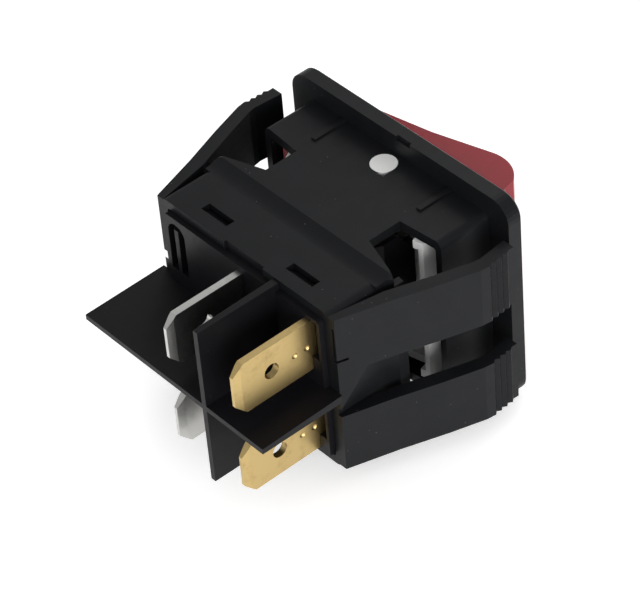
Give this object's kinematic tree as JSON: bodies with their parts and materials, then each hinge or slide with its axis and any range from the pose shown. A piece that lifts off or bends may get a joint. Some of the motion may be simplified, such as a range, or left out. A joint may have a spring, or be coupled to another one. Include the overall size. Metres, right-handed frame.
{
  "type": "panel rocker switch",
  "caption": "Lighted snap-in rocker switch: black bezel and slotted body, flexible toothed wings, red see-saw lens, barriers and blade terminals.",
  "frame": {"origin": "centre of the panel cut-out, in the plane where the bezel seats on the panel", "axes": "+Y from the panel's front face to the terminals, X along the rocker (-X towards the load terminals), +Z across to the first pole"},
  "size_m": [0.0368, 0.0399, 0.0264],
  "materials": {
    "black_housing": "black glass-filled nylon, fine satin",
    "black_base": "black nylon, fine satin",
    "red_lens": "clear red polycarbonate, polished",
    "white_carrier": "white nylon, satin",
    "lamp_glass": "clear glass",
    "resistor_body": "lacquered",
    "tinned_wire": "tinned",
    "plunger_brass": "turned",
    "spring_steel": "drawn wire",
    "lever_silvered": "silver-plated",
    "contact_silver": "silver alloy, domed",
    "silvered_blade": "silver-plated, rolled",
    "brass_blade": "bare rolled brass"
  },
  "bodies": {
    "base": {"housing": "black_housing", "terminal_base": "black_base", "fixed_contact_1": "contact_silver", "fixed_contact_2": "contact_silver", "common_terminal_1": "silvered_blade", "common_terminal_2": "silvered_blade", "load_terminal_1": "brass_blade", "load_terminal_2": "brass_blade"},
    "rocker": {"rocker_lens": "red_lens", "rocker_carrier": "white_carrier", "neon_lamp": "lamp_glass", "resistor": "resistor_body", "lamp_lead_1": "tinned_wire", "lamp_lead_2": "tinned_wire", "plunger_spring_1": "spring_steel", "plunger_spring_2": "spring_steel"},
    "plunger_1": {"plunger_1": "plunger_brass"},
    "plunger_2": {"plunger_2": "plunger_brass"},
    "lever_1": {"contact_lever_1": "lever_silvered", "lever_contact_1": "contact_silver"},
    "lever_2": {"contact_lever_2": "lever_silvered", "lever_contact_2": "contact_silver"}
  },
  "joints": [
    {"name": "rocker_pivot", "type": "hinge", "parent": "base", "child": "rocker", "pos_m": [0, 0.00187, 0], "axis": [0, 0, 1], "range_deg": [-28, 0]},
    {"name": "plunger_slide_1", "type": "slide", "parent": "rocker", "child": "plunger_1", "axis": [0.2419, -0.9703, 0], "range_m": [0, 0.0008], "stiffness_N_per_m": 300, "springref_m": -0.0015, "deforming": ["plunger_spring_1"]},
    {"name": "plunger_slide_2", "type": "slide", "parent": "rocker", "child": "plunger_2", "axis": [0.2419, -0.9703, 0], "range_m": [0, 0.0008], "stiffness_N_per_m": 300, "springref_m": -0.0015, "deforming": ["plunger_spring_2"]},
    {"name": "lever_pivot_1", "type": "hinge", "parent": "base", "child": "lever_1", "pos_m": [0, 0.01375, 0], "axis": [0, 0, 1], "range_deg": [0, 16]},
    {"name": "lever_pivot_2", "type": "hinge", "parent": "base", "child": "lever_2", "pos_m": [0, 0.01375, 0], "axis": [0, 0, 1], "range_deg": [0, 16]}
  ],
  "couplings": [
    {"joint": "lever_pivot_1", "follows": "rocker_pivot", "ratio": -0.5714},
    {"joint": "lever_pivot_2", "follows": "rocker_pivot", "ratio": -0.5714}
  ]
}
